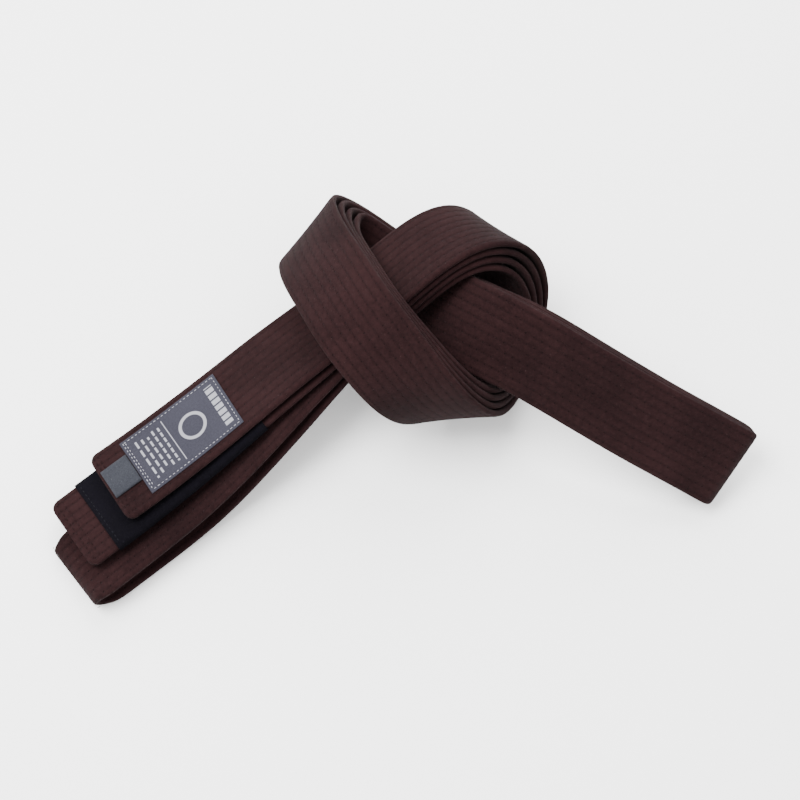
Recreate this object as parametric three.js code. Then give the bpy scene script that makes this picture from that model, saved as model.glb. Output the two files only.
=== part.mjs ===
// A martial arts belt folded in four and tied with one overhand knot.
// Units are millimetres, +Z up, and the origin is on the table under the middle of the belt.
import * as THREE from "three";

// Driving dimensions
const BELT_WIDTH = 40;
const BELT_THICKNESS = 3.1;
const LAYER_PITCH = 3.5; // middle to middle of two layers that lie on each other
const COVER_WALL = 0.5;
const SEAM_GAP = 0.8; // the open lap of the folded cover
const SEAM_FROM_EDGE = 4;
const PLY_COUNT = 3;
const PLY_THICKNESS = 0.4;
const PLY_GAP = 0.15;
const PLY_WIDTH = 37.4;
const PLY_END_INSET = 2.5;
const SLEEVE_START = 14.5; // from the tip of the sleeve end
const SLEEVE_LENGTH = 87;
const SLEEVE_WALL = 0.5;
const SLEEVE_GAP = 0.2;
const LABEL_START = 15.5; // from the tip of the label end
const LABEL_LENGTH = 53;
const LABEL_WIDTH = 32;
const LABEL_THICKNESS = 0.5;
const LABEL_GAP = 0.28;
const TAG_LENGTH = 14;
const TAG_WIDTH = 16;
const TAG_THICKNESS = 0.4;
const TAG_FOLD_GAP = 0.3;
const TAG_HEIGHT = 0.9; // its underside clears the stitching at the tip
const TAG_OFFSET = 0.5; // the tag sits a little to the far side of the belt's middle
const THREAD_SIZE = 0.45;
const THREAD_GAP = 0.1;

// The bundle's route: x, y, z of its middle, the direction across the belt, and how far
// apart its four layers lie, as a share of the layer pitch.
const ORIGIN = [-1.1, -3.9, 11]; // puts the middle of the footprint at x = y = 0 and the table at z = 0
const KNOT_ROUTE = [
  [-19, 39, 33, 0.45, -0.81, 0.38, 1],
  [-1, 52, 40, 0.44, -0.8, 0.4, 1],
  [16, 64, 47, 0.46, -0.77, 0.44, 1],
  [31, 70, 47, 0.53, -0.71, 0.46, 1.15],
  [45, 70, 37, 0.62, -0.64, 0.45, 1.25],
  [50, 62, 20, 0.73, -0.55, 0.39, 1.2],
  [48, 50, 7.3, 0.86, -0.43, 0.28, 1.16],
  [44, 35, 0.7, 0.92, -0.31, 0.24, 1.1],
  [37, 15, 1.5, 0.94, -0.19, 0.29, 1.08],
  [27, -2.6, 15, 0.91, -0.1, 0.4, 1.03],
  [14, -4.8, 35, 0.89, 0.09, 0.45, 1.02],
  [3, 0.6, 48.3, 0.84, 0.27, 0.47, 1.02],
  [-8, 11, 57, 0.78, 0.44, 0.45, 1],
  [-19, 25, 59, 0.73, 0.52, 0.44, 1],
  [-29, 45, 53, 0.7, 0.56, 0.43, 1],
  [-37.8, 65, 39.8, 0.67, 0.59, 0.44, 1.12],
  [-37.2, 79.2, 27, 0.63, 0.64, 0.44, 1.5],
  [-27.6, 80.6, 15.8, 0.57, 0.68, 0.46, 1.45],
  [-13, 71.3, 10.6, 0.53, 0.7, 0.47, 1.2],
  [3, 58, 14, 0.53, 0.72, 0.46, 1],
  [21, 40, 29, 0.53, 0.71, 0.47, 1],
  [40, 25, 41, 0.5, 0.66, 0.56, 1],
  [60, 14, 42, 0.47, 0.62, 0.62, 1],
  [90, -1, 30, 0.46, 0.64, 0.62, 1],
  [120, -14, 17, 0.47, 0.68, 0.57, 1],
  [147, -25, 4.9, 0.47, 0.71, 0.54, 1],
];
// Each layer's own way from its left end into the bundle. The last column is 0 because
// these rows are the layer's own middle.
const ARM_ROUTES = [
  [
    [-132, -39.2, 9.2, 0.58, -0.78, 0.22, 0],
    [-112, -25, 11.6, 0.57, -0.78, 0.24, 0],
    [-92, -9.9, 15.4, 0.55, -0.79, 0.26, 0],
    [-72, 4.3, 21.6, 0.53, -0.79, 0.3, 0],
    [-53, 18.4, 29.4, 0.5, -0.8, 0.33, 0],
  ],
  [
    [-149, -59.2, 1.8, 0.6, -0.77, 0.22, 0],
    [-124, -40, 4.2, 0.59, -0.77, 0.24, 0],
    [-99, -20.8, 8.4, 0.57, -0.77, 0.27, 0],
    [-75, -1.8, 15.8, 0.54, -0.78, 0.31, 0],
    [-53, 14, 24, 0.5, -0.8, 0.34, 0],
  ],
  [
    [-136, -66, -1.6, 0.61, -0.76, 0.22, 0],
    [-116, -50, -0.9, 0.6, -0.76, 0.24, 0],
    [-95, -33, 2.4, 0.59, -0.77, 0.26, 0],
    [-74, -14, 9.8, 0.56, -0.78, 0.28, 0],
    [-52, 8, 19, 0.5, -0.8, 0.34, 0],
  ],
  [
    [-138.5, -69.3, -9.45, 0.63, -0.78, 0, 0],
    [-127.5, -60.2, -9.45, 0.63, -0.78, 0, 0],
    [-116, -51, -9.45, 0.63, -0.78, 0, 0],
    [-97, -36, -8.2, 0.62, -0.78, 0.05, 0],
    [-74, -17, 2, 0.58, -0.79, 0.2, 0],
    [-50, 4.5, 13, 0.5, -0.8, 0.34, 0],
  ],
];
// The folded middle of the belt, round the left-hand end from the lowest layer to the third
const LOOP_ROUTE = [
  [-147.5, -76.5, -9.45, 0.63, -0.78, 0, 0, -1],
  [-146.5, -75, -1.2, 0.62, -0.76, 0.2, 0, 1],
];

// How closely the flat-sided solids follow the curves
const SAMPLES_PER_POINT = 40;
const CHORD_ERROR = 0.2;
const MOST_TURN = THREE.MathUtils.degToRad(17);
const LONGEST_STEP = 14;

function blendRows(rows, amount) {
  return rows[0].map((first, column) =>
    rows.reduce((sum, row, i) => sum + row[column] * amount[i], 0),
  );
}

// A smooth cubic curve steered by rows of numbers; it starts at the first row and ends at the last.
function smoothRows(rows) {
  const mirrored = (a, b) => a.map((value, i) => 2 * value - b[i]);
  const guides = [
    mirrored(rows[0], rows[1]),
    ...rows,
    mirrored(rows.at(-1), rows.at(-2)),
  ];
  const out = [];
  const steps = (rows.length - 1) * SAMPLES_PER_POINT;
  for (let k = 0; k <= steps; k++) {
    const at = Math.min(k / SAMPLES_PER_POINT, rows.length - 1 - 1e-9);
    const i = Math.floor(at);
    const f = at - i;
    const amount = [
      (1 - f) ** 3 / 6,
      (3 * f ** 3 - 6 * f ** 2 + 4) / 6,
      (-3 * f ** 3 + 3 * f ** 2 + 3 * f + 1) / 6,
      f ** 3 / 6,
    ];
    out.push(blendRows(guides.slice(i, i + 4), amount));
  }
  return out;
}

// One station of a strip: its middle, the direction across it and the direction its face looks.
function stationsOf(rows) {
  const middles = rows.map((row) => new THREE.Vector3(row[0], row[1], row[2]));
  return rows.map((row, i) => {
    const before = middles[Math.max(i - 1, 0)];
    const after = middles[Math.min(i + 1, rows.length - 1)];
    const along = after.clone().sub(before).normalize();
    const across = new THREE.Vector3(row[3], row[4], row[5]);
    across.addScaledVector(along, -across.dot(along)).normalize();
    const face = across.clone().cross(along);
    const middle = middles[i].clone().addScaledVector(face, LAYER_PITCH * row[6]);
    return { middle, across, face, back: row[7] < 0 };
  });
}

// A layer's rows from its left end to the right end of the bundle, layer 0 on top. The last
// column tells the way: 1 towards the right, -1 towards the left.
function layerRows(layer) {
  const steps = 1.5 - layer;
  const rows = [...ARM_ROUTES[layer], ...KNOT_ROUTE];
  return rows.map((row) => [...row.slice(0, 6), row[6] * steps, 1]);
}

// The same rows the other way: the face that looked up now looks down.
function backwards(rows) {
  return rows.toReversed().map((row) => [...row.slice(0, 6), -row[6], -row[7]]);
}

// A half-round fold from the end of one run to the start of the next. It turns away from the
// face where side is 1, and towards it where side is -1.
function foldStations(from, to, side, steps) {
  const centre = from.middle.clone().add(to.middle).multiplyScalar(0.5);
  const radius = from.middle.distanceTo(centre);
  const forward = from.face.clone().cross(from.across);
  const out = [];
  for (let i = 1; i < steps; i++) {
    const turn = (Math.PI * i) / steps;
    const face = from.face
      .clone()
      .multiplyScalar(Math.cos(turn))
      .addScaledVector(forward, side * Math.sin(turn));
    const middle = centre.clone().addScaledVector(face, side * radius);
    out.push({ middle, across: from.across.clone(), face, back: false });
  }
  return out;
}

// Keeps only the stations that the shape needs.
function thinned(stations) {
  const kept = [stations[0]];
  let last = 0;
  const follows = (i, j) => {
    const a = stations[i];
    const b = stations[j];
    if (a.face.angleTo(b.face) > MOST_TURN || a.across.angleTo(b.across) > MOST_TURN) return false;
    if (a.middle.distanceTo(b.middle) > LONGEST_STEP) return false;
    const chord = new THREE.Line3(a.middle, b.middle);
    const nearest = new THREE.Vector3();
    for (let k = i + 1; k < j; k++) {
      chord.closestPointToPoint(stations[k].middle, true, nearest);
      if (nearest.distanceTo(stations[k].middle) > CHORD_ERROR) return false;
    }
    return true;
  };
  for (let i = 1; i < stations.length; i++) {
    if (i + 1 === stations.length || !follows(last, i + 1)) {
      kept.push(stations[i]);
      last = i;
    }
  }
  return kept;
}

const labelRun = stationsOf(smoothRows(layerRows(0)));
const loopRun = stationsOf(
  smoothRows([...backwards(layerRows(3)), ...LOOP_ROUTE, ...layerRows(2)]),
);
const sleeveRun = stationsOf(smoothRows(backwards(layerRows(1))));
const OUTER_FOLD_STEPS = 8;
const INNER_FOLD_STEPS = 6;
const beltStations = [
  ...thinned(labelRun),
  ...foldStations(labelRun.at(-1), loopRun[0], 1, OUTER_FOLD_STEPS),
  ...thinned(loopRun),
  ...foldStations(loopRun.at(-1), sleeveRun[0], -1, INNER_FOLD_STEPS),
  ...thinned(sleeveRun),
];

// A station at a distance along a run.
function stationAt(run, distance) {
  let left = distance;
  for (let i = 1; i < run.length; i++) {
    const step = run[i].middle.distanceTo(run[i - 1].middle);
    if (left <= step || i === run.length - 1) {
      const part = left / step;
      return {
        middle: run[i - 1].middle.clone().lerp(run[i].middle, part),
        across: run[i - 1].across.clone().lerp(run[i].across, part).normalize(),
        face: run[i - 1].face.clone().lerp(run[i].face, part).normalize(),
        back: run[i].back,
      };
    }
    left -= step;
  }
}

function stretch(run, start, end, steps) {
  return Array.from({ length: steps + 1 }, (unused, i) =>
    stationAt(run, THREE.MathUtils.lerp(start, end, i / steps)),
  );
}

// Moves a station across the belt and out from its face.
function shifted(station, across, out) {
  const middle = station.middle
    .clone()
    .addScaledVector(station.across, across)
    .addScaledVector(station.face, out);
  return { ...station, middle };
}

// A solid with the section's outline carried along the stations. The outline is a list of
// [across, out] points, anticlockwise; a hole is a second outline. A closed route has no ends.
function sweep(stations, outline, hole = [], closed = false) {
  const section = outline.map(([x, y]) => new THREE.Vector2(x, y));
  const inside = hole.map(([x, y]) => new THREE.Vector2(x, y));
  const points = [...section, ...inside];
  const positions = [];
  for (const { middle, across, face } of stations) {
    for (const point of points) {
      const at = middle.clone().addScaledVector(across, point.x).addScaledVector(face, point.y);
      positions.push(at.x, at.y, at.z);
    }
  }
  const size = points.length;
  const index = [];
  // Both faces of a strip are split along the same diagonal, so that thin layers stay apart
  const quad = (a, b, c, d, flip) =>
    index.push(...(flip ? [a, b, d, b, c, d] : [a, b, c, a, c, d]));
  const rings = closed ? stations.length : stations.length - 1;
  for (let i = 0; i < rings; i++) {
    const here = i * size;
    const next = ((i + 1) % stations.length) * size;
    const back = Boolean(stations[i].back);
    for (let j = 0; j < section.length; j++) {
      const k = (j + 1) % section.length;
      const flip = section[k].x < section[j].x !== back;
      quad(here + j, next + j, next + k, here + k, flip);
    }
    for (let j = 0; j < inside.length; j++) {
      const k = (j + 1) % inside.length;
      const base = section.length;
      const flip = inside[j].x < inside[k].x !== back;
      quad(here + base + k, next + base + k, next + base + j, here + base + j, flip);
    }
  }
  if (!closed) {
    const end = (stations.length - 1) * size;
    for (const [a, b, c] of THREE.ShapeUtils.triangulateShape(section, inside.length ? [inside] : [])) {
      index.push(a, b, c);
      index.push(end + a, end + c, end + b);
    }
  }
  const geometry = new THREE.BufferGeometry();
  geometry.setAttribute("position", new THREE.Float32BufferAttribute(positions, 3));
  geometry.setIndex(index);
  geometry.computeVertexNormals();
  return geometry;
}

function rectangle(width, height, x = 0, y = 0) {
  return [
    [x - width / 2, y - height / 2],
    [x + width / 2, y - height / 2],
    [x + width / 2, y + height / 2],
    [x - width / 2, y + height / 2],
  ];
}

const part = new THREE.Group();
part.position.fromArray(ORIGIN);

function addPiece(name, geometry, color, roughness = 0.9) {
  const material = new THREE.MeshStandardMaterial({ color, roughness, metalness: 0 });
  const mesh = new THREE.Mesh(geometry, material);
  mesh.name = name;
  part.add(mesh);
}

// The cover: one strip of cotton folded round the core, its lap open along the back.
function coverOutline() {
  const edge = BELT_WIDTH / 2;
  const top = BELT_THICKNESS / 2;
  const round = top * 0.5;
  const inEdge = edge - 2 * COVER_WALL;
  const inTop = top - COVER_WALL;
  const seam = edge - SEAM_FROM_EDGE;
  return [
    [seam + SEAM_GAP / 2, -top],
    [edge - round, -top],
    [edge, 0],
    [edge - round, top],
    [round - edge, top],
    [-edge, 0],
    [round - edge, -top],
    [seam - SEAM_GAP / 2, -top],
    [seam - SEAM_GAP / 2, -inTop],
    [-inEdge, -inTop],
    [-inEdge, inTop],
    [inEdge, inTop],
    [inEdge, -inTop],
    [seam + SEAM_GAP / 2, -inTop],
  ];
}

function addCover() {
  addPiece("belt_cover", sweep(beltStations, coverOutline()), 0x3e2a2b);
}

// The core: plies of cotton that lie loose inside the cover, a little shorter than it is.
function addCore() {
  const ends = beltStations.slice(1, -1);
  const first = stationAt(beltStations, PLY_END_INSET);
  const last = stationAt(beltStations.toReversed(), PLY_END_INSET);
  const stations = [first, ...ends, last];
  const pitch = PLY_THICKNESS + PLY_GAP;
  for (let i = 0; i < PLY_COUNT; i++) {
    const height = (i - (PLY_COUNT - 1) / 2) * pitch;
    const outline = rectangle(PLY_WIDTH, PLY_THICKNESS, 0, height);
    addPiece(`core_ply_${i + 1}`, sweep(stations, outline), 0xd9cfbd);
  }
}

// The black rank sleeve, wrapped right round the belt near the end without the label.
function addSleeve() {
  const toTip = sleeveRun.toReversed();
  const stations = stretch(toTip, SLEEVE_START, SLEEVE_START + SLEEVE_LENGTH, 10).toReversed();
  const grow = 2 * SLEEVE_GAP;
  const inner = rectangle(BELT_WIDTH + grow, BELT_THICKNESS + grow);
  const wall = grow + 2 * SLEEVE_WALL;
  const outer = rectangle(BELT_WIDTH + wall, BELT_THICKNESS + wall);
  addPiece("rank_sleeve", sweep(stations, outer, inner), 0x14141a, 0.8);
  const loop = rectangle(BELT_WIDTH + wall + THREAD_SIZE * 2, BELT_THICKNESS + wall + THREAD_SIZE * 2);
  const near = stationAt(toTip, SLEEVE_START + 2);
  const far = stationAt(toTip, SLEEVE_START + SLEEVE_LENGTH - 2);
  addPiece("sleeve_thread_tip", threadRound(near, loop), 0x101014);
  addPiece("sleeve_thread_inner", threadRound(far, loop), 0x101014);
}

// A row of stitching closed on itself: corners are [across, out] points at one station.
function threadRound(station, corners) {
  const along = station.face.clone().cross(station.across);
  const places = corners.map(([x, y]) => shifted(station, x, y));
  const stations = places.map(({ middle }, i) => {
    const out = station.across
      .clone()
      .multiplyScalar(Math.sign(corners[i][0]))
      .addScaledVector(station.face, Math.sign(corners[i][1]));
    return { middle, across: along, face: out };
  });
  return sweep(stations, rectangle(THREAD_SIZE, THREAD_SIZE), [], true);
}

// A frame of stitching on a face, between two distances along a run.
function threadFrame(run, start, end, width, height) {
  const steps = 6;
  const places = [];
  for (let i = 0; i <= steps; i++) {
    const here = stationAt(run, THREE.MathUtils.lerp(start, end, i / steps));
    const along = here.face.clone().cross(here.across);
    const corner = i === 0 ? -1 : i === steps ? 1 : 0;
    places.push({ here, along, corner });
  }
  const side = (sign) => ({ here, along, corner }) => ({
    middle: shifted(here, (sign * width) / 2, height).middle,
    across: here.across.clone().multiplyScalar(sign).addScaledVector(along, corner),
    face: here.face,
  });
  const stations = [...places.map(side(1)), ...places.toReversed().map(side(-1))];
  return sweep(stations, rectangle(THREAD_SIZE, THREAD_SIZE), [], true);
}

// The woven label on the top face of the other end, and the frame of stitching that holds it.
function addLabel() {
  const height = BELT_THICKNESS / 2 + LABEL_GAP + LABEL_THICKNESS / 2;
  const end = LABEL_START + LABEL_LENGTH;
  const stations = stretch(labelRun, LABEL_START, end, 8);
  const outline = rectangle(LABEL_WIDTH, LABEL_THICKNESS, 0, height);
  addPiece("woven_label", sweep(stations, outline), 0x54545e, 0.7);
  const inset = 1.5;
  const threadHeight = height + LABEL_THICKNESS / 2 + THREAD_GAP + THREAD_SIZE / 2;
  const frame = threadFrame(
    labelRun,
    LABEL_START + inset,
    end - inset,
    LABEL_WIDTH - 2 * inset,
    threadHeight,
  );
  addPiece("label_thread", frame, 0xd8d8dc, 0.6);
}

// The rows of stitching that close the two tips of the cover.
function addTipThreads() {
  const height = BELT_THICKNESS / 2 + THREAD_GAP + THREAD_SIZE / 2;
  const width = BELT_WIDTH - 6;
  const toTip = sleeveRun.toReversed().map(({ middle, across, face }) => ({
    middle,
    across: across.clone().negate(),
    face,
  }));
  addPiece("tip_thread_label_end", threadFrame(labelRun, 1.2, 2.6, width, height), 0x33221f);
  addPiece("tip_thread_sleeve_end", threadFrame(toTip, 3, 6, width, -height), 0x33221f);
}

// The size tag: a tape folded in two, sewn in at the label's lower end and free to lift.
function addTag() {
  const root = stationAt(labelRun, LABEL_START - 0.3);
  const along = root.face.clone().cross(root.across);
  const low = BELT_THICKNESS / 2 + TAG_HEIGHT;
  const high = low + 2 * TAG_THICKNESS + TAG_FOLD_GAP;
  const inLow = low + TAG_THICKNESS;
  const inHigh = high - TAG_THICKNESS;
  const tip = -TAG_LENGTH;
  const fold = TAG_THICKNESS;
  const outline = [
    [0, low],
    [0, inLow],
    [tip + fold, inLow],
    [tip + fold, inHigh],
    [0, inHigh],
    [0, high],
    [tip + fold / 2, high],
    [tip, high - fold / 2],
    [tip, low + fold / 2],
    [tip + fold / 2, low],
  ];
  const ends = [1, -1].map((side) => ({
    middle: shifted(root, (side * TAG_WIDTH) / 2 - TAG_OFFSET, 0).middle,
    across: along,
    face: root.face,
  }));
  addPiece("size_tag", sweep(ends, outline), 0x8a8a90, 0.7);
}

addCover();
addCore();
addSleeve();
addLabel();
addTipThreads();
addTag();

export default part;
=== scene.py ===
import math

import bpy
import numpy as np
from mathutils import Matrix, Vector


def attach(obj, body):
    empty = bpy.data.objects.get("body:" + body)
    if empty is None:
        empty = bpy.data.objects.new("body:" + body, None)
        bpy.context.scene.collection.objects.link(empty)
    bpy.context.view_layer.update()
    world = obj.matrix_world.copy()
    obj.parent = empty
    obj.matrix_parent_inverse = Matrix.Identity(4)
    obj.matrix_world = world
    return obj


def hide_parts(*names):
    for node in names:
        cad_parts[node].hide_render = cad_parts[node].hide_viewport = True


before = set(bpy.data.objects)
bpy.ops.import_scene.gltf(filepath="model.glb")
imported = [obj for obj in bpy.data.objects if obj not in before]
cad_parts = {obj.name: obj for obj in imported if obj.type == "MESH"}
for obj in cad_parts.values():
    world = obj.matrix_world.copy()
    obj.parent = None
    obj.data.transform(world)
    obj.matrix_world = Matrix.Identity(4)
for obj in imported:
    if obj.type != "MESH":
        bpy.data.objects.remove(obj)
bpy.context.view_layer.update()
print("stage: frame loaded")

# The bundle's route in millimetres. A row is x, y, z, the direction across the belt, and how far
# apart the four layers lie, as a share of the layer pitch.
knotRoute = [
    [-19, 39, 33, 0.45, -0.81, 0.38, 1],
    [-1, 52, 40, 0.44, -0.8, 0.4, 1],
    [16, 64, 47, 0.46, -0.77, 0.44, 1],
    [31, 70, 47, 0.53, -0.71, 0.46, 1.15],
    [45, 70, 37, 0.62, -0.64, 0.45, 1.25],
    [50, 62, 20, 0.73, -0.55, 0.39, 1.2],
    [48, 50, 7.3, 0.86, -0.43, 0.28, 1.16],
    [44, 35, 0.7, 0.92, -0.31, 0.24, 1.1],
    [37, 15, 1.5, 0.94, -0.19, 0.29, 1.08],
    [27, -2.6, 15, 0.91, -0.1, 0.4, 1.03],
    [14, -4.8, 35, 0.89, 0.09, 0.45, 1.02],
    [3, 0.6, 48.3, 0.84, 0.27, 0.47, 1.02],
    [-8, 11, 57, 0.78, 0.44, 0.45, 1],
    [-19, 25, 59, 0.73, 0.52, 0.44, 1],
    [-29, 45, 53, 0.7, 0.56, 0.43, 1],
    [-37.8, 65, 39.8, 0.67, 0.59, 0.44, 1.12],
    [-37.2, 79.2, 27, 0.63, 0.64, 0.44, 1.5],
    [-27.6, 80.6, 15.8, 0.57, 0.68, 0.46, 1.45],
    [-13, 71.3, 10.6, 0.53, 0.7, 0.47, 1.2],
    [3, 58, 14, 0.53, 0.72, 0.46, 1],
    [21, 40, 29, 0.53, 0.71, 0.47, 1],
    [40, 25, 41, 0.5, 0.66, 0.56, 1],
    [60, 14, 42, 0.47, 0.62, 0.62, 1],
    [90, -1, 30, 0.46, 0.64, 0.62, 1],
    [120, -14, 17, 0.47, 0.68, 0.57, 1],
    [147, -25, 4.9, 0.47, 0.71, 0.54, 1],
]
# The left-hand part of each layer, from its tip or the loop to where the bundle starts
armRoutes = [
    [
        [-132, -39.2, 9.2, 0.58, -0.78, 0.22, 0],
        [-112, -25, 11.6, 0.57, -0.78, 0.24, 0],
        [-92, -9.9, 15.4, 0.55, -0.79, 0.26, 0],
        [-72, 4.3, 21.6, 0.53, -0.79, 0.3, 0],
        [-53, 18.4, 29.4, 0.5, -0.8, 0.33, 0],
    ],
    [
        [-149, -59.2, 1.8, 0.6, -0.77, 0.22, 0],
        [-124, -40, 4.2, 0.59, -0.77, 0.24, 0],
        [-99, -20.8, 8.4, 0.57, -0.77, 0.27, 0],
        [-75, -1.8, 15.8, 0.54, -0.78, 0.31, 0],
        [-53, 14, 24, 0.5, -0.8, 0.34, 0],
    ],
    [
        [-136, -66, -1.6, 0.61, -0.76, 0.22, 0],
        [-116, -50, -0.9, 0.6, -0.76, 0.24, 0],
        [-95, -33, 2.4, 0.59, -0.77, 0.26, 0],
        [-74, -14, 9.8, 0.56, -0.78, 0.28, 0],
        [-52, 8, 19, 0.5, -0.8, 0.34, 0],
    ],
    [
        [-138.5, -69.3, -9.45, 0.63, -0.78, 0, 0],
        [-127.5, -60.2, -9.45, 0.63, -0.78, 0, 0],
        [-116, -51, -9.45, 0.63, -0.78, 0, 0],
        [-97, -36, -8.2, 0.62, -0.78, 0.05, 0],
        [-74, -17, 2, 0.58, -0.79, 0.2, 0],
        [-50, 4.5, 13, 0.5, -0.8, 0.34, 0],
    ],
]
# The turn between the two lowest layers at the left
loopRoute = [
    [-147.5, -76.5, -9.45, 0.63, -0.78, 0, 0],
    [-146.5, -75, -1.2, 0.62, -0.76, 0.2, 0],
]
routeOrigin = (-1.1, -3.9, 11)
layerPitch = 3.5


# A uniform cubic B-spline through rows of numbers, with its ends at the first and last row
def smoothRows(rows, samples=40):
    table = np.array(rows, float)
    guides = np.vstack([2 * table[0] - table[1], table, 2 * table[-1] - table[-2]])
    at = np.linspace(0, len(table) - 1, (len(table) - 1) * samples + 1)
    first = np.minimum(at.astype(int), len(table) - 2)
    part = (at - first)[:, None]
    amounts = [
        (1 - part) ** 3 / 6,
        (3 * part**3 - 6 * part**2 + 4) / 6,
        (-3 * part**3 + 3 * part**2 + 3 * part + 1) / 6,
        part**3 / 6,
    ]
    return sum(amount * guides[first + i] for i, amount in enumerate(amounts))


def unit(vectors):
    return vectors / np.linalg.norm(vectors, axis=-1, keepdims=True)


# A strip's stations: rows of middle, direction across and direction of its face, in metres
def stationsOf(rows):
    smooth = smoothRows(rows)
    middle = smooth[:, :3]
    before = np.vstack([middle[:1], middle[:-1]])
    after = np.vstack([middle[1:], middle[-1:]])
    along = unit(after - before)
    across = smooth[:, 3:6]
    across = unit(across - along * (across * along).sum(1, keepdims=True))
    face = np.cross(across, along)
    middle = middle + face * layerPitch * smooth[:, 6:7] + routeOrigin
    return np.hstack([middle * 0.001, across, face])


def layerRows(layer):
    return [row[:6] + [row[6] * (1.5 - layer)] for row in armRoutes[layer] + knotRoute]


def backwards(rows):
    return [row[:6] + [-row[6]] for row in reversed(rows)]


# A half turn that joins two runs at the right-hand end
def halfFold(start, end, side, steps=24):
    centre = (start[:3] + end[:3]) / 2
    radius = np.linalg.norm(start[:3] - centre)
    across, face = start[3:6], start[6:9]
    forward = np.cross(face, across)
    rows = []
    for turn in np.linspace(0, math.pi, steps + 1)[1:-1]:
        out = face * math.cos(turn) + forward * side * math.sin(turn)
        rows.append(np.hstack([centre + out * side * radius, across, out]))
    return np.array(rows)


# How far along a run each of its stations is
def distances(stations):
    steps = np.linalg.norm(np.diff(stations[:, :3], axis=0), axis=1)
    return np.concatenate([[0], np.cumsum(steps)])


def stationsAt(stations, places):
    here = distances(stations)
    columns = [np.interp(places, here, stations[:, i]) for i in range(9)]
    found = np.stack(columns, axis=1)
    found[:, 3:6] = unit(found[:, 3:6])
    found[:, 6:9] = unit(found[:, 6:9])
    return found


labelRun = stationsOf(layerRows(0))
loopRun = stationsOf(backwards(layerRows(3)) + loopRoute + layerRows(2))
sleeveRun = stationsOf(backwards(layerRows(1)))
outerFold = halfFold(labelRun[-1], loopRun[0], 1)
innerFold = halfFold(loopRun[-1], sleeveRun[0], -1)
beltPath = np.vstack([labelRun, outerFold, loopRun, innerFold, sleeveRun])
beltLength = distances(beltPath)[-1]
print(f"stage: belt routed, {beltLength:.3f} m")


def makePiece(name, points, faces, material=None, smooth=True):
    mesh = bpy.data.meshes.new(name)
    mesh.from_pydata([tuple(p) for p in points], [], [tuple(f) for f in faces])
    mesh.polygons.foreach_set("use_smooth", [smooth] * len(mesh.polygons))
    mesh.update()
    if material:
        mesh.materials.append(material)
    piece = bpy.data.objects.new(name, mesh)
    bpy.context.scene.collection.objects.link(piece)
    return piece


def addValues(piece, name, values):
    layer = piece.data.attributes.new(name, "FLOAT", "POINT")
    layer.data.foreach_set("value", np.asarray(values, np.float32).ravel())


def addVectors(piece, name, values):
    layer = piece.data.attributes.new(name, "FLOAT_VECTOR", "POINT")
    layer.data.foreach_set("vector", np.asarray(values, np.float32).ravel())


# Carries a section along the stations. section is (n, 2), or (stations, n, 2) where it changes,
# anticlockwise seen from in front, in metres. hole is a second outline inside it.
def sweep(name, stations, section, material, hole=None):
    def spread(outline):
        outline = np.asarray(outline, float)
        if outline.ndim == 2:
            outline = np.broadcast_to(outline, (len(stations), *outline.shape))
        return outline

    outlines = [spread(section)] + ([spread(hole)] if hole is not None else [])
    points = np.concatenate(outlines, axis=1)
    places = (
        stations[:, None, :3]
        + points[..., :1] * stations[:, None, 3:6]
        + points[..., 1:] * stations[:, None, 6:9]
    )
    size = points.shape[1]
    outer = outlines[0].shape[1]
    here = np.arange(len(stations) - 1) * size
    after = here + size
    loops = [(0, outer, 1)]
    if hole is not None:
        loops.append((outer, size - outer, -1))
    faces = []
    for start, count, turn in loops:
        j = start + np.arange(count)
        k = start + (np.arange(count) + 1) % count
        quads = np.stack(
            [
                here[:, None] + j,
                after[:, None] + j,
                after[:, None] + k,
                here[:, None] + k,
            ],
            axis=-1,
        ).reshape(-1, 4)
        faces.append(quads if turn == 1 else quads[:, ::-1])
    faces = [list(f) for f in np.concatenate(faces)]
    last = (len(stations) - 1) * size
    if hole is None:
        faces.append(list(range(outer)))
        faces.append([last + i for i in reversed(range(outer))])
    else:
        for i in range(outer):
            j = (i + 1) % outer
            ring = [i, j, outer + j, outer + i]
            faces.append(ring)
            faces.append([last + v for v in reversed(ring)])
    piece = makePiece(name, places.reshape(-1, 3), faces, material)
    return piece, points


def roundedBar(width, height, radius, cornerSteps=4):
    corners = [(1, -1, -90), (1, 1, 0), (-1, 1, 90), (-1, -1, 180)]
    outline = []
    for x, y, start in corners:
        centre = (x * (width / 2 - radius), y * (height / 2 - radius))
        for i in range(cornerSteps + 1):
            turn = math.radians(start + 90 * i / cornerSteps)
            outline.append(
                (centre[0] + radius * math.cos(turn), centre[1] + radius * math.sin(turn))
            )
    return np.array(outline)



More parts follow.
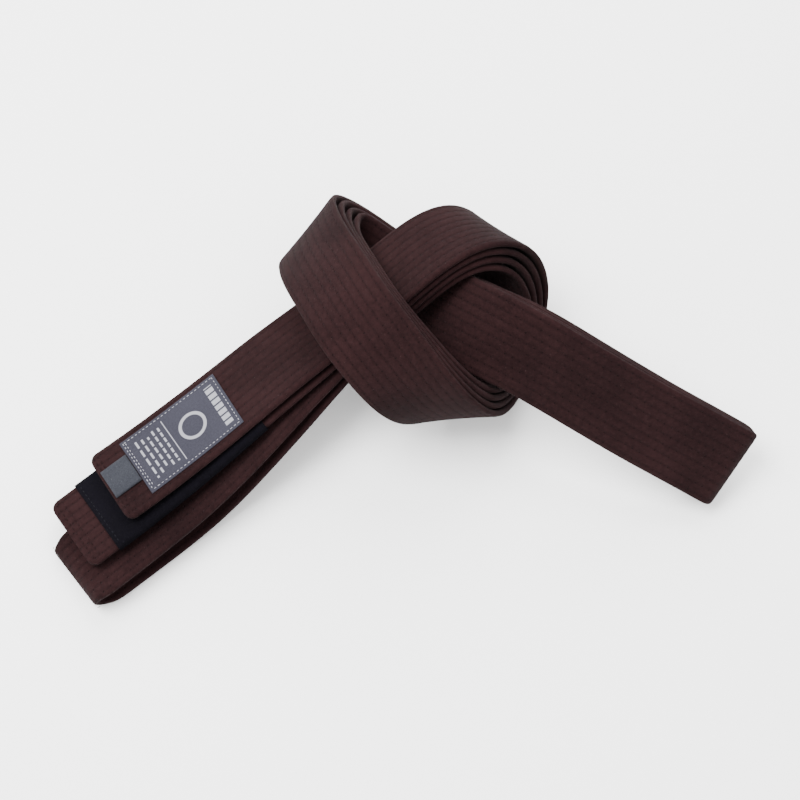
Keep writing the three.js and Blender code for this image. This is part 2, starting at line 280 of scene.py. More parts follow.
class Tree:
    def __init__(self, tree):
        self.tree = tree

    def node(self, kind, **settings):
        made = self.tree.nodes.new(kind)
        for key, value in settings.items():
            setattr(made, key, value)
        return made

    def put(self, socket, value):
        if isinstance(value, bpy.types.NodeSocket):
            self.tree.links.new(value, socket)
        elif value is not None:
            socket.default_value = value

    def math(self, operation, a, b=None, c=None):
        made = self.node("ShaderNodeMath", operation=operation)
        for socket, value in zip(made.inputs, (a, b, c)):
            self.put(socket, value)
        return made.outputs[0]

    def mix(self, factor, a, b, kind="MIX"):
        made = self.node("ShaderNodeMix", data_type="RGBA", blend_type=kind)
        self.put(made.inputs[0], factor)
        self.put(made.inputs[6], a)
        self.put(made.inputs[7], b)
        return made.outputs[2]

    def ramp(self, value, low, high):
        made = self.node("ShaderNodeMapRange", interpolation_type="SMOOTHSTEP")
        self.put(made.inputs["Value"], value)
        self.put(made.inputs["From Min"], low)
        self.put(made.inputs["From Max"], high)
        return made.outputs["Result"]

    def noise(self, vector, scale, detail=3.0, roughness=0.5):
        made = self.node("ShaderNodeTexNoise")
        self.put(made.inputs["Vector"], vector)
        self.put(made.inputs["Scale"], scale)
        self.put(made.inputs["Detail"], detail)
        self.put(made.inputs["Roughness"], roughness)
        return made.outputs["Fac"]

    def group(self, tree, **values):
        made = self.node("ShaderNodeGroup", node_tree=tree)
        for key, value in values.items():
            self.put(made.inputs[key], value)
        return made.outputs


def newGroup(name, inputs, outputs):
    tree = bpy.data.node_groups.new(name, "ShaderNodeTree")
    for socketName, kind, default in inputs:
        socket = tree.interface.new_socket(socketName, in_out="INPUT", socket_type=kind)
        if default is not None:
            socket.default_value = default
    for socketName, kind in outputs:
        tree.interface.new_socket(socketName, in_out="OUTPUT", socket_type=kind)
    build = Tree(tree)
    entry = build.node("NodeGroupInput").outputs
    leave = build.node("NodeGroupOutput").inputs
    return tree, build, entry, leave


floatSocket = "NodeSocketFloat"

# Diagonal cloth: fine slanted ribs that cross a plain grid of threads
clothTree, build, entry, leave = newGroup(
    "diagonalCloth",
    [
        ("Across", floatSocket, 0.0),
        ("Along", floatSocket, 0.0),
        ("Thread", floatSocket, 0.0006),
        ("Slant", floatSocket, 1.0),
    ],
    [("Height", floatSocket), ("Shade", floatSocket)],
)
across = build.math("DIVIDE", entry["Across"], entry["Thread"])
along = build.math("DIVIDE", entry["Along"], entry["Thread"])
slanted = build.math("ADD", across, build.math("MULTIPLY", along, entry["Slant"]))
wobble = build.node("ShaderNodeCombineXYZ")
build.put(wobble.inputs[0], build.math("MULTIPLY", across, 0.31))
build.put(wobble.inputs[1], build.math("MULTIPLY", along, 0.31))
grain = build.noise(wobble.outputs[0], 1.0, 4.0, 0.6)
phase = build.math("MULTIPLY_ADD", grain, 0.9, slanted)
rib = build.math("SINE", build.math("MULTIPLY", phase, math.tau))
thread = build.math("SINE", build.math("MULTIPLY", along, math.tau * 1.6))
height = build.math("MULTIPLY_ADD", rib, 0.32, build.math("MULTIPLY_ADD", thread, 0.12, 0.5))
build.put(leave["Height"], height)
build.put(leave["Shade"], build.math("MULTIPLY_ADD", grain, 0.5, build.math("MULTIPLY", height, 0.5)))

# Lengthwise rows of quilting: a soft channel along each row and a needle hole at each stitch
quiltTree, build, entry, leave = newGroup(
    "quiltRows",
    [
        ("Across", floatSocket, 0.0),
        ("Along", floatSocket, 0.0),
        ("Row Pitch", floatSocket, 0.0043),
        ("Stitch Pitch", floatSocket, 0.0038),
        ("Hole Size", floatSocket, 0.0005),
    ],
    [("Channel", floatSocket), ("Hole", floatSocket)],
)
rowPlace = build.math("DIVIDE", entry["Across"], entry["Row Pitch"])
fromRow = build.math("SUBTRACT", rowPlace, build.math("ROUND", rowPlace))
fromRow = build.math("ABSOLUTE", build.math("MULTIPLY", fromRow, entry["Row Pitch"]))
stagger = build.math("MULTIPLY", build.math("ROUND", rowPlace), 0.37)
stitchPlace = build.math("ADD", build.math("DIVIDE", entry["Along"], entry["Stitch Pitch"]), stagger)
fromStitch = build.math("SUBTRACT", stitchPlace, build.math("ROUND", stitchPlace))
fromStitch = build.math("MULTIPLY", fromStitch, entry["Stitch Pitch"])
holeDistance = build.math(
    "SQRT",
    build.math(
        "ADD",
        build.math("MULTIPLY", fromRow, fromRow),
        build.math("MULTIPLY", fromStitch, fromStitch),
    ),
)
build.put(leave["Channel"], build.ramp(fromRow, 0.0013, 0.0))
build.put(leave["Hole"], build.ramp(holeDistance, entry["Hole Size"], 0.0))

# Lint, fade and handling marks by place
wearTree, build, entry, leave = newGroup(
    "clothWear",
    [("Vector", "NodeSocketVector", None), ("Lint", floatSocket, 0.5)],
    [("Fade", floatSocket), ("Lint", floatSocket)],
)
build.put(leave["Fade"], build.noise(entry["Vector"], 28.0, 4.0, 0.55))
specks = build.noise(entry["Vector"], 1400.0, 1.0, 0.5)
build.put(leave["Lint"], build.math("MULTIPLY", build.ramp(specks, 0.72, 0.82), entry["Lint"]))
print("stage: shader groups")


def newMaterial(name):
    material = bpy.data.materials.new(name)
    material.use_nodes = True
    material.node_tree.nodes.clear()
    build = Tree(material.node_tree)
    shader = build.node("ShaderNodeBsdfPrincipled")
    output = build.node("ShaderNodeOutputMaterial")
    build.tree.links.new(shader.outputs[0], output.inputs[0])
    return material, build, shader


def attribute(build, name):
    return build.node("ShaderNodeAttribute", attribute_name=name).outputs["Fac"]


def finishCloth(build, shader, colour, height, depth, roughness, sheen):
    bump = build.node("ShaderNodeBump")
    build.put(bump.inputs["Height"], height)
    bump.inputs["Distance"].default_value = depth
    bump.inputs["Strength"].default_value = 1.0
    build.put(shader.inputs["Normal"], bump.outputs[0])
    build.put(shader.inputs["Base Color"], colour)
    build.put(shader.inputs["Roughness"], roughness)
    shader.inputs["Sheen Weight"].default_value = sheen
    shader.inputs["Sheen Roughness"].default_value = 0.5
    shader.inputs["Specular IOR Level"].default_value = 0.04


strapLook = {
    "dark": (0.0056, 0.0021, 0.0024, 1),
    "light": (0.0185, 0.0075, 0.0079, 1),
    # painted shade in the quilting channels
    "channel": (0.0058, 0.0023, 0.0026, 1),
    # painted shade in the needle holes
    "hole": (0.0012, 0.0006, 0.0006, 1),
    "lint": (0.05, 0.032, 0.031, 1),
    "thread": 0.00065,
    "sheen": 0.012,
    "rowPitch": 0.0043,
    "stitchPitch": 0.0038,
    "rows": 9,
    "channelDepth": 0.00009,
    "cornerRound": 0.0045,
    "foldPinch": 0.0034,
    "stationStep": 0.0026,
    "width": 0.04,
    "thickness": 0.0031,
    "edgeRound": 0.0013,
}


def clothMaterial(name, look, quilted=True):
    material, build, shader = newMaterial(name)
    across = attribute(build, "across")
    along = attribute(build, "along")
    place = build.node("ShaderNodeTexCoord").outputs["Object"]
    cloth = build.group(clothTree, Across=across, Along=along, Thread=look["thread"])
    wear = build.group(wearTree, Vector=place)
    shade = build.math("MULTIPLY_ADD", wear["Fade"], 0.5, build.math("MULTIPLY", cloth["Shade"], 0.75))
    colour = build.mix(build.ramp(shade, 0.43, 0.79), look["dark"], look["light"])
    height = cloth["Height"]
    if quilted:
        quilt = build.group(
            quiltTree,
            **{
                "Across": across,
                "Along": along,
                "Row Pitch": look["rowPitch"],
                "Stitch Pitch": look["stitchPitch"],
            },
        )
        # Painted shade: each quilting channel is painted darker, towards the channel colour
        colour = build.mix(build.math("MULTIPLY", quilt["Channel"], 0.35), colour, look["channel"])
        # Painted shade: each needle hole is painted dark, towards the hole colour, more in some holes
        # than others
        uneven = build.ramp(build.noise(place, 420.0, 2.0), 0.3, 0.7)
        holes = build.math("MULTIPLY", quilt["Hole"], build.math("MULTIPLY_ADD", uneven, 0.6, 0.25))
        colour = build.mix(holes, colour, look["hole"])
        height = build.math("MULTIPLY_ADD", quilt["Channel"], -0.3, height)
        height = build.math("MULTIPLY_ADD", quilt["Hole"], -2.0, height)
    colour = build.mix(wear["Lint"], colour, look["lint"])
    finishCloth(build, shader, colour, height, depth=0.00018, roughness=0.9, sheen=look["sheen"])
    return material


strapMaterial = clothMaterial("brownCotton", strapLook)


def threadMaterial(name, dark, light, roughness=0.6):
    material, build, shader = newMaterial(name)
    place = build.node("ShaderNodeTexCoord").outputs["Object"]
    twist = build.noise(place, 2600.0, 2.0)
    colour = build.mix(twist, dark, light)
    finishCloth(build, shader, colour, twist, depth=0.00005, roughness=roughness, sheen=0.01)
    return material


brownThread = threadMaterial(
    "brownThread", (0.0047, 0.0018, 0.002, 1), (0.0135, 0.0055, 0.0058, 1), roughness=0.85
)
print("stage: materials")

# The strap: where the two folds at the right-hand end start, and how long they are
ends = [
    distances(labelRun)[-1],
    distances(np.vstack([labelRun, outerFold, loopRun]))[-1],
]
foldLengths = [layerPitch * 0.001 * 1.5 * math.pi, layerPitch * 0.001 * 0.5 * math.pi]
step = strapLook["stationStep"]
# The loop's farthest point down and to the left, and how far along the belt it is
loopRows = smoothRows(backwards(layerRows(3)) + loopRoute + layerRows(2))
turnAt = int(np.argmin(loopRows[:, 0] * 0.8 + loopRows[:, 1] * 0.6))
loopMiddle = distances(np.vstack([labelRun, outerFold]))[-1] + distances(loopRun)[turnAt]
# Each tip and tight turn: where it starts, how long it is, and how many stations it takes
turns = [
    (0.0, 0.006, 16),
    (ends[0] - 0.004, foldLengths[0] + 0.008, 34),
    (loopMiddle - 0.009, 0.018, 24),
    (ends[1] - 0.002, foldLengths[1] + 0.004, 24),
    (beltLength - 0.006, 0.006, 16),
]
places = []
start = 0.0
for turnStart, turnLength, count in turns:
    if turnStart > start:
        plainCount = round((turnStart - start) / step)
        places.append(np.linspace(start, turnStart, plainCount, endpoint=False))
    places.append(np.linspace(turnStart, turnStart + turnLength, count, endpoint=False))
    start = turnStart + turnLength
places = np.concatenate(places + [[beltLength]])
strapStations = stationsAt(beltPath, places)


# Layers don't lie exactly on each other: each wanders a little to the side
def wander(places):
    slow = np.sin(places * 9.1 + 0.6) * 0.35 + np.sin(places * 23.7 + 2.1) * 0.2
    quick = np.sin(places * 61.3) * 0.08 + np.sin(places * 131.0 + 1.0) * 0.04
    return (slow + quick) * 0.001


strapStations[:, :3] += strapStations[:, 3:6] * wander(places)[:, None]


# The strap's outline, with a shallow channel under each row of quilting
def strapSection(look):
    half = look["width"] / 2
    thick = look["thickness"] / 2
    count = look["rows"]
    pitch = look["rowPitch"]
    rows = (np.arange(count) - (count - 1) / 2) * pitch
    bank = 0.0007
    channelReach = 0.00055
    xs = np.concatenate([[row - bank, row, row + bank] for row in rows])
    mids = (rows[1:] + rows[:-1]) / 2
    xs = np.sort(np.concatenate([xs, mids]))
    sink = sum(np.exp(-(((xs - row) / channelReach) ** 2)) for row in rows) * look["channelDepth"]
    top = thick - sink
    edge = []
    for turn in np.linspace(-60, 60, 5):
        turn = math.radians(turn)
        edge.append(
            (
                half - look["edgeRound"] * (1 - math.cos(turn)),
                thick * 0.92 * math.sin(turn) / math.sin(math.radians(75)),
            )
        )
    edge = np.array(edge)
    upper = np.stack([xs[::-1], top[::-1]], axis=1)
    lower = np.stack([xs, -top], axis=1)
    return np.concatenate([lower, edge, upper, -edge])


section = strapSection(strapLook)
# The tips are pressed a little thinner, and their corners are round
fromEnd = np.minimum(places, beltLength - places)
press = 1 - 0.35 * np.exp(-fromEnd / 0.0012)
corner = strapLook["cornerRound"]
away = np.clip(corner - fromEnd, 0, corner)
lost = corner - np.sqrt(np.maximum(corner**2 - away**2, 0))
# The loop's two corners are drawn in, and the outer fold's a little
outerMiddle = ends[0] + foldLengths[0] / 2
for foldPlace, reach, share in ((loopMiddle, 0.0065, 1.0), (outerMiddle, 0.003, 0.25)):
    nearness = np.exp(-(((places - foldPlace) / reach) ** 2))
    lost = lost + strapLook["foldPinch"] * share * nearness
narrow = 1 - lost * 2 / strapLook["width"]
sections = np.stack(
    [
        section[None, :, 0] * narrow[:, None],
        section[None, :, 1] * press[:, None],
    ],
    axis=-1,
)
beltStrap, strapPoints = sweep("beltStrap", strapStations, sections, strapMaterial)
addValues(beltStrap, "across", strapPoints[..., 0])
addValues(beltStrap, "along", np.broadcast_to(places[:, None], strapPoints.shape[:2]))
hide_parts("belt_cover", "core_ply_1", "core_ply_2", "core_ply_3")
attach(beltStrap, "belt")
print(f"stage: strap, {len(beltStrap.data.polygons)} faces")


# One flat stitch on each point, turned the way it runs and the way its face looks
def stitchGroup():
    tree = bpy.data.node_groups.new("stitchesOnPoints", "GeometryNodeTree")
    inputs = [
        ("Geometry", "NodeSocketGeometry", None),
        ("Length", floatSocket, 0.0028),
        ("Thread", floatSocket, 0.0005),
        ("Flatness", floatSocket, 0.6),
        ("Unevenness", floatSocket, 0.12),
        ("Seed", "NodeSocketInt", 3),
        ("Material", "NodeSocketMaterial", None),
    ]
    for name, kind, default in inputs:
        socket = tree.interface.new_socket(name, in_out="INPUT", socket_type=kind)
        if default is not None:
            socket.default_value = default
    tree.interface.new_socket("Geometry", in_out="OUTPUT", socket_type="NodeSocketGeometry")
    build = Tree(tree)
    entry = build.node("NodeGroupInput").outputs
    leave = build.node("NodeGroupOutput").inputs

    def named(name):
        made = build.node("GeometryNodeInputNamedAttribute", data_type="FLOAT_VECTOR")
        made.inputs["Name"].default_value = name
        return made.outputs["Attribute"]

    ball = build.node("GeometryNodeMeshIcoSphere")
    ball.inputs["Radius"].default_value = 0.5
    ball.inputs["Subdivisions"].default_value = 1
    size = build.node("ShaderNodeCombineXYZ")
    build.put(size.inputs[0], entry["Length"])
    build.put(size.inputs[1], entry["Thread"])
    build.put(size.inputs[2], build.math("MULTIPLY", entry["Thread"], entry["Flatness"]))
    uneven = build.node("FunctionNodeRandomValue", data_type="FLOAT")
    build.put(uneven.inputs[2], build.math("SUBTRACT", 1.0, entry["Unevenness"]))
    build.put(uneven.inputs[3], build.math("ADD", 1.0, entry["Unevenness"]))
    build.put(uneven.inputs["Seed"], entry["Seed"])
    scale = build.node("ShaderNodeVectorMath", operation="SCALE")
    build.put(scale.inputs[0], size.outputs[0])
    build.put(scale.inputs["Scale"], uneven.outputs[1])
    first = build.node("FunctionNodeAlignRotationToVector", axis="X")
    build.put(first.inputs["Vector"], named("runs"))
    second = build.node("FunctionNodeAlignRotationToVector", axis="Z", pivot_axis="X")
    build.put(second.inputs["Rotation"], first.outputs[0])
    build.put(second.inputs["Vector"], named("faces"))
    onPoints = build.node("GeometryNodeInstanceOnPoints")
    build.put(onPoints.inputs["Points"], entry["Geometry"])
    build.put(onPoints.inputs["Instance"], ball.outputs["Mesh"])
    build.put(onPoints.inputs["Rotation"], second.outputs[0])
    build.put(onPoints.inputs["Scale"], scale.outputs[0])
    real = build.node("GeometryNodeRealizeInstances")
    build.put(real.inputs[0], onPoints.outputs[0])
    soft = build.node("GeometryNodeSetShadeSmooth")
    build.put(soft.inputs["Geometry"], real.outputs[0])
    paint = build.node("GeometryNodeSetMaterial")
    build.put(paint.inputs["Geometry"], soft.outputs[0])
    build.put(paint.inputs["Material"], entry["Material"])
    build.put(leave["Geometry"], paint.outputs[0])
    return tree


stitchTree = stitchGroup()


# rows is (n, 9): where each stitch lies, the way it runs and the way its face looks
def stitches(name, rows, material, body, slot, **values):
    seeds = makePiece(name + "Seeds", rows[:, :3], [])
    addVectors(seeds, "runs", rows[:, 3:6])
    addVectors(seeds, "faces", rows[:, 6:9])
    modifier = seeds.modifiers.new("stitches", "NODES")
    modifier.node_group = stitchTree
    wanted = {"Material": material, **values}
    for item in stitchTree.interface.items_tree:
        if item.in_out == "INPUT" and item.name in wanted:
            modifier[item.identifier] = wanted[item.name]
    seeds.update_tag()
    bpy.context.view_layer.update()
    graph = bpy.context.evaluated_depsgraph_get()
    mesh = bpy.data.meshes.new_from_object(seeds.evaluated_get(graph))
    mesh.name = name
    piece = bpy.data.objects.new(name, mesh)
    bpy.context.scene.collection.objects.link(piece)
    bpy.data.objects.remove(seeds, do_unlink=True)
    if not mesh.materials:
        mesh.materials.append(material)
    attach(piece, body)
    return piece


def onStations(stations, across, out, runs=None):
    middle = stations[:, :3] + stations[:, 3:6] * across + stations[:, 6:9] * out
    if runs is None:
        runs = np.cross(stations[:, 6:9], stations[:, 3:6])
    return np.hstack([middle, runs, stations[:, 6:9]])


quiltLook = {"length": 0.0022, "thread": 0.0004, "sink": 0.0002, "endGap": 0.008}


def quiltStitches(name, side):
    count = strapLook["rows"]
    pitch = strapLook["stitchPitch"]
    gathered = []
    for row in range(count):
        index = row - (count - 1) // 2
        spots = (np.arange(beltLength / pitch) + 0.5 - 0.37 * index) * pitch
        gap = quiltLook["endGap"]
        spots = spots[(spots > gap) & (spots < beltLength - gap)]
        stations = stationsAt(beltPath, spots)
        stations[:, :3] += stations[:, 3:6] * wander(spots)[:, None]
        channelFloor = strapLook["thickness"] / 2 - strapLook["channelDepth"]
        out = channelFloor - quiltLook["sink"] + 0.00015
        rows = onStations(stations, index * strapLook["rowPitch"], side * out)
        rows[:, 6:9] *= side
        gathered.append(rows)
    return stitches(
        name,
        np.vstack(gathered),
        brownThread,
        "belt",
        "brown_thread",
        Length=quiltLook["length"],
        Thread=quiltLook["thread"],
        Seed=5 + side,
    )


quiltFront = quiltStitches("quiltStitchesFront", 1)
quiltStitches("quiltStitchesBack", -1)
print(f"stage: quilting, {len(quiltFront.data.polygons)} faces a side")

# Rank sleeve

sleeveLook = {
    "start": 0.0145,
    "length": 0.087,
    "gap": 0.00022,
    "wall": 0.0005,
    "inset": 0.002,
    "rowWidth": 0.0375,
    "dark": (0.0008, 0.0006, 0.0014, 1),
    "light": (0.003, 0.0025, 0.0044, 1),
    "lint": (0.02, 0.02, 0.025, 1),
    "thread": 0.0005,
    "sheen": 0.004,
}
sleeveMaterial = clothMaterial("blackCotton", sleeveLook, quilted=False)
toTip = sleeveRun[::-1]
sleeveEnd = sleeveLook["start"] + sleeveLook["length"]
sleevePlaces = np.linspace(sleeveLook["start"], sleeveEnd, 60)
sleeveStations = stationsAt(toTip, sleevePlaces)[::-1]
wanderAt = wander(beltLength - sleevePlaces[::-1])
sleeveStations[:, :3] += sleeveStations[:, 3:6] * wanderAt[:, None]
inner = roundedBar(
    strapLook["width"] + 2 * sleeveLook["gap"],
    strapLook["thickness"] + 2 * sleeveLook["gap"],
    0.0014,
)
outer = roundedBar(
    strapLook["width"] + 2 * (sleeveLook["gap"] + sleeveLook["wall"]),
    strapLook["thickness"] + 2 * (sleeveLook["gap"] + sleeveLook["wall"]),
    0.0018,
)


# Adds points across the two flat faces so that they can carry values
def withFlats(outline, count=8):
    filled = []
    for i, point in enumerate(outline):
        after = outline[(i + 1) % len(outline)]
        filled.append(point)
        if abs(after[0] - point[0]) > 0.01:
            for part in np.linspace(0, 1, count)[1:-1]:
                filled.append(point + (after - point) * part)
    return np.array(filled)


inner, outer = withFlats(inner), withFlats(outer)
rankSleeve, sleevePoints = sweep("rankSleeve", sleeveStations, outer, sleeveMaterial, hole=inner)
addValues(rankSleeve, "across", sleevePoints[..., 0])
addValues(rankSleeve, "along", np.broadcast_to(sleevePlaces[:, None], sleevePoints.shape[:2]))
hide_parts("rank_sleeve")
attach(rankSleeve, "belt")

blackThread = threadMaterial("blackThread", (0.002, 0.002, 0.003, 1), (0.009, 0.009, 0.012, 1))


# A row of stitches across the belt at one place of a run
def rowAcross(run, place, width, out, pitch=0.0024):
    spots = np.arange(-width / 2, width / 2 + 0.0001, pitch)
    station = stationsAt(run, np.array([place]))
    shift = wander(np.array([beltLength - place if run is toTip else place]))[0]
    rows = [onStations(station, x + shift, out, station[:, 3:6]) for x in spots]
    rows = np.vstack(rows)
    if out < 0:
        rows[:, 6:9] *= -1
    return rows


sleeveTop = strapLook["thickness"] / 2 + sleeveLook["gap"] + sleeveLook["wall"] + 0.00008
for name, node, place in (
    ("sleeveStitchesTip", "sleeve_thread_tip", sleeveLook["start"] + sleeveLook["inset"]),
    ("sleeveStitchesInner", "sleeve_thread_inner", sleeveEnd - sleeveLook["inset"]),
):
    both = [rowAcross(toTip, place, sleeveLook["rowWidth"], side * sleeveTop) for side in (-1, 1)]
    piece = stitches(
        name,
        np.vstack(both),
        blackThread,
        "belt",
        "black_thread",
        Length=0.0018,
        Thread=0.00042,
        Seed=11,
    )
    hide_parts(node)
print("stage: sleeve")

# Woven label

labelLook = {
    "start": 0.0155,
    "length": 0.053,
    "width": 0.032,
    "thickness": 0.0005,
    "gap": 0.00012,
    "ground": (0.016, 0.0155, 0.022, 1),
    "groundLight": (0.037, 0.0365, 0.048, 1),
    "print": (0.25, 0.25, 0.275, 1),
    "thread": 0.00032,
    "inset": 0.0014,
    "stitchPitch": 0.0021,
    "secondRow": 0.0011,
    "secondWidth": 0.027,
    "ringCentre": 0.0325,
    "ringSize": 0.0062,
    "ringWidth": 0.0016,
    "barPlace": 0.0475,
    "barHeight": 0.0042,
    "linePlace": 0.0215,
    "dashRows": [0.0065, 0.0095, 0.0125, 0.0155, 0.0185],
}


def stripe(build, value, centre, halfWidth):
    away = build.math("ABSOLUTE", build.math("SUBTRACT", value, centre))
    return build.ramp(away, halfWidth + 0.0001, halfWidth - 0.0001)


# The label's weave, with plain marks in place of print
def labelMaterial():
    look = labelLook
    material, build, shader = newMaterial("labelWeave")
    across = attribute(build, "across")
    along = attribute(build, "along")
    place = build.node("ShaderNodeTexCoord").outputs["Object"]
    cloth = build.group(clothTree, Across=across, Along=along, Thread=look["thread"], Slant=0.6)
    wear = build.group(wearTree, Vector=place, Lint=0.25)
    shade = build.math("MULTIPLY_ADD", cloth["Shade"], 0.8, build.math("MULTIPLY", wear["Fade"], 0.3))
    ground = build.mix(build.ramp(shade, 0.2, 0.9), look["ground"], look["groundLight"])
    marks = []
    # bar of plain blocks near the far end, and a thin line below the ring
    bar = stripe(build, along, look["barPlace"], look["barHeight"] / 2)
    blocks = build.math("SINE", build.math("MULTIPLY", across, math.tau / 0.0034))
    bar = build.math("MULTIPLY", bar, build.ramp(blocks, -0.8, -0.6))
    marks.append(build.math("MULTIPLY", bar, stripe(build, across, 0.0, 0.0119)))
    line = stripe(build, along, look["linePlace"], 0.00022)
    marks.append(build.math("MULTIPLY", line, stripe(build, across, 0.0, 0.0125)))
    # plain ring
    ringAlong = build.math("SUBTRACT", along, look["ringCentre"])
    distance = build.math(
        "SQRT",
        build.math(
            "ADD",
            build.math("MULTIPLY", across, across),
            build.math("MULTIPLY", ringAlong, ringAlong),
        ),
    )
    marks.append(stripe(build, distance, look["ringSize"], look["ringWidth"] / 2))
    # rows of dashes, broken at uneven places
    for i, row in enumerate(look["dashRows"]):
        broken = build.math("MULTIPLY_ADD", across, 1150.0 + 170.0 * i, 1.7 * i)
        broken = build.ramp(build.math("SINE", broken), -0.75, -0.55)
        dashes = build.math("MULTIPLY", stripe(build, along, row, 0.0005), broken)
        rowEnds = stripe(build, across, 0.0, 0.0115 - 0.0009 * (i % 3))
        marks.append(build.math("MULTIPLY", dashes, rowEnds))
    mask = marks[0]
    for mark in marks[1:]:
        mask = build.math("MAXIMUM", mask, mark)
    mask = build.math("MULTIPLY", mask, 0.85)
    colour = build.mix(mask, ground, look["print"])
    height = build.math("MULTIPLY_ADD", mask, 0.6, cloth["Height"])
    finishCloth(build, shader, colour, height, depth=0.00008, roughness=0.75, sheen=0.02)
    return material


# A thin flat outline that lies out from the middle of the strap
def slab(width, height, out):
    outline = withFlats(roundedBar(width, height, 0.00018, 2), 14)
    return outline + np.array([0, out])


labelEnd = labelLook["start"] + labelLook["length"]
labelPlaces = np.linspace(labelLook["start"], labelEnd, 70)
labelStations = stationsAt(labelRun, labelPlaces)
labelStations[:, :3] += labelStations[:, 3:6] * wander(labelPlaces)[:, None]
labelOut = strapLook["thickness"] / 2 + labelLook["gap"] + labelLook["thickness"] / 2
labelSection = slab(labelLook["width"], labelLook["thickness"], labelOut)
wovenLabel, labelPoints = sweep("wovenLabel", labelStations, labelSection, labelMaterial())
addValues(wovenLabel, "across", labelPoints[..., 0])
addValues(
    wovenLabel,
    "along",
    np.broadcast_to((labelPlaces - labelLook["start"])[:, None], labelPoints.shape[:2]),
)
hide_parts("woven_label")
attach(wovenLabel, "belt")

paleThread = threadMaterial("paleThread", (0.17, 0.17, 0.19, 1), (0.33, 0.33, 0.355, 1))
labelTop = labelOut + labelLook["thickness"] / 2 + 0.00006
inset = labelLook["inset"]
pitch = labelLook["stitchPitch"]
lengthwise = np.arange(labelLook["start"] + inset + pitch / 2, labelEnd - inset, pitch)
border = []
for side in (-1, 1):
    stations = stationsAt(labelRun, lengthwise)
    stations[:, :3] += stations[:, 3:6] * wander(lengthwise)[:, None]
    border.append(onStations(stations, side * (labelLook["width"] / 2 - inset), labelTop))
rowWidth = labelLook["width"] - 2 * inset - 0.001
for place in (labelLook["start"] + inset, labelEnd - inset):
    border.append(rowAcross(labelRun, place, rowWidth, labelTop, pitch))
secondRow = labelLook["start"] + inset + labelLook["secondRow"]
border.append(rowAcross(labelRun, secondRow, labelLook["secondWidth"], labelTop, pitch))
labelStitches = stitches(
    "labelStitches",
    np.vstack(border),
    paleThread,
    "belt",
    "pale_thread",
    Length=0.0014,
    Thread=0.00036,
    Seed=17,
)
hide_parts("label_thread")
print("stage: label")

# Size tag

tagLook = {
    "length": 0.014,
    "width": 0.016,
    "height": 0.00062,
    "offset": 0.0005,
    "tape": 0.00028,
    "gap": 0.0001,
    "droop": 0.0003,
    "dark": (0.016, 0.017, 0.022, 1),
    "light": (0.038, 0.04, 0.049, 1),
    "lint": (0.12, 0.12, 0.13, 1),
    "thread": 0.0003,
    "sheen": 0.02,
}
tagMaterial = clothMaterial("tagTape", tagLook, quilted=False)
tagRoot = stationsAt(labelRun, np.array([labelLook["start"] - 0.0003]))
tagAlong = np.cross(tagRoot[:, 6:9], tagRoot[:, 3:6])


# The tape seen from its side: out to the fold and back, with a slight droop
def tagSection():
    tape, gap, length = tagLook["tape"], tagLook["gap"], tagLook["length"]
    base = strapLook["thickness"] / 2 + tagLook["height"]
    middle = base + tape + gap / 2
    radius = gap / 2 + tape / 2
    route = [(-x, middle - radius) for x in np.linspace(0, length - radius - tape / 2, 14)]
    centre = route[-1][0]
    for turn in np.linspace(0, math.pi, 9)[1:-1]:
        route.append((centre - radius * math.sin(turn), middle - radius * math.cos(turn)))
    route += [(x, middle + radius) for x, y in reversed(route[:14])]
    route = np.array(route)
    route[:, 1] -= tagLook["droop"] * (route[:, 0] / length) ** 2
    ahead = unit(np.gradient(route, axis=0))
    normal = np.stack([-ahead[:, 1], ahead[:, 0]], axis=1)
    return np.concatenate([route + normal * tape / 2, (route - normal * tape / 2)[::-1]])


tagOutline = tagSection()
tagAfter = np.roll(tagOutline, -1, axis=0)
turning = np.sum(tagOutline[:, 0] * tagAfter[:, 1] - tagAfter[:, 0] * tagOutline[:, 1])
if turning < 0:
    tagOutline = tagOutline[::-1]
tagRows = []
tagSpots = np.linspace(tagLook["width"] / 2, -tagLook["width"] / 2, 16)
for spot in tagSpots:
    middle = tagRoot[0, :3] + tagRoot[0, 3:6] * (spot - tagLook["offset"])
    tagRows.append(np.hstack([middle, tagAlong[0], tagRoot[0, 6:9]]))
sizeTag, tagPoints = sweep("sizeTag", np.array(tagRows), tagOutline, tagMaterial)
addValues(sizeTag, "across", np.broadcast_to(tagSpots[:, None], tagPoints.shape[:2]))
addValues(sizeTag, "along", tagPoints[..., 0])
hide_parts("size_tag")
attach(sizeTag, "tag")
print("stage: tag")

# Tip stitching

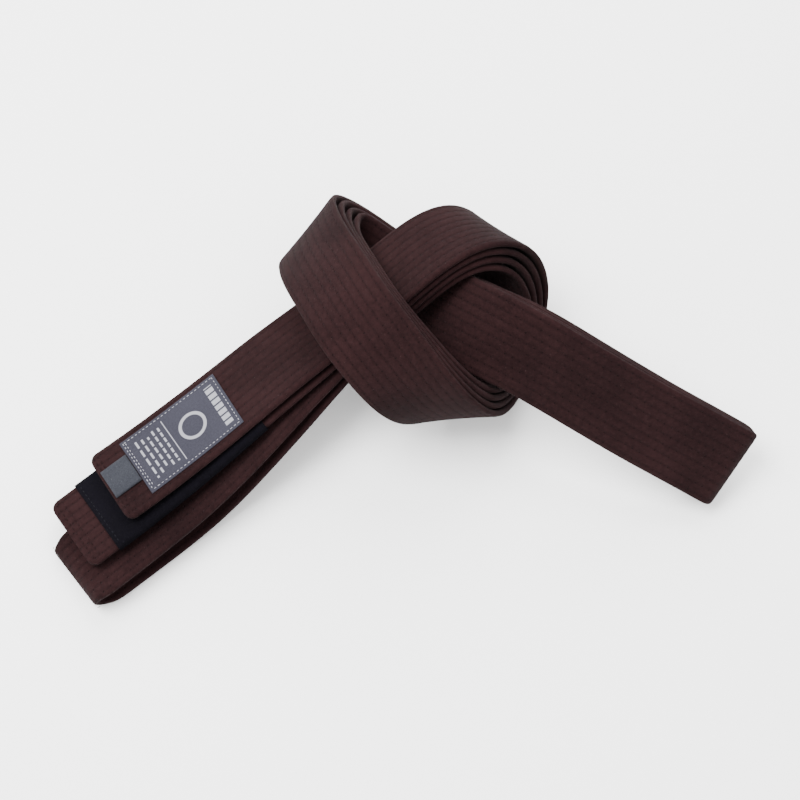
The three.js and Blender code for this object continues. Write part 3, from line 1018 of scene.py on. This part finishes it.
tipLook = {
    "rowWidth": 0.034,
    "stitchPitch": 0.003,
    "labelEndRows": (0.0022, 0.0042),
    "sleeveEndRows": (0.003, 0.006),
}
tipTop = strapLook["thickness"] / 2 + 0.0001
for name, node, run, rowPlaces, out, seed in (
    ("tipStitchesLabelEnd", "tip_thread_label_end", labelRun, "labelEndRows", tipTop, 23),
    ("tipStitchesSleeveEnd", "tip_thread_sleeve_end", toTip, "sleeveEndRows", -tipTop, 29),
):
    width, pitch = tipLook["rowWidth"], tipLook["stitchPitch"]
    rows = [rowAcross(run, place, width, out, pitch) for place in tipLook[rowPlaces]]
    piece = stitches(
        name,
        np.vstack(rows),
        brownThread,
        "belt",
        "brown_thread",
        Length=0.0022,
        Thread=0.00045,
        Seed=seed,
    )
    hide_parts(node)

# Floor, light and camera

floorLook = {
    "size": 6.0,
    "colour": (0.96, 0.96, 0.96, 1),
    "colourLight": (0.98, 0.98, 0.98, 1),
    "roughness": 0.6,
}
floorMaterial, build, shader = newMaterial("paleFloor")
place = build.node("ShaderNodeTexCoord").outputs["Object"]
build.put(
    shader.inputs["Base Color"],
    build.mix(build.noise(place, 3.0), floorLook["colour"], floorLook["colourLight"]),
)
shader.inputs["Roughness"].default_value = floorLook["roughness"]
half = floorLook["size"] / 2
floor = makePiece(
    "floor",
    [(-half, -half, 0), (half, -half, 0), (half, half, 0), (-half, half, 0)],
    [(0, 1, 2, 3)],
    floorMaterial,
)
floor.location.z = -0.0002

lights = {
    "key": {"place": (-0.55, 0.15, 1.25), "size": 0.8, "watts": 46},
    "fill": {"place": (0.9, -0.6, 1.0), "size": 1.2, "watts": 8},
    "back": {"place": (0.15, 1.1, 1.0), "size": 1.0, "watts": 30},
}
for name, look in lights.items():
    light = bpy.data.lights.new(name, "AREA")
    light.energy = look["watts"]
    light.size = look["size"]
    lamp = bpy.data.objects.new(name, light)
    lamp.location = look["place"]
    lamp.rotation_euler = (Vector((0, 0, 0.03)) - lamp.location).to_track_quat("-Z", "Y").to_euler()
    bpy.context.scene.collection.objects.link(lamp)

world = bpy.data.worlds.new("studio")
world.use_nodes = True
world.node_tree.nodes["Background"].inputs["Color"].default_value = (1, 1, 1, 1)
world.node_tree.nodes["Background"].inputs["Strength"].default_value = 1.75
bpy.context.scene.world = world

cameraData = bpy.data.cameras.new("camera")
cameraData.lens = 75.24
cameraData.sensor_width = 36
cameraData.clip_start = 0.01
camera = bpy.data.objects.new("camera", cameraData)
camera.location = (-0.0011, -0.2638, 0.7452)
camera.rotation_euler = (math.radians(20), 0, 0)
bpy.context.scene.collection.objects.link(camera)
bpy.context.scene.camera = camera
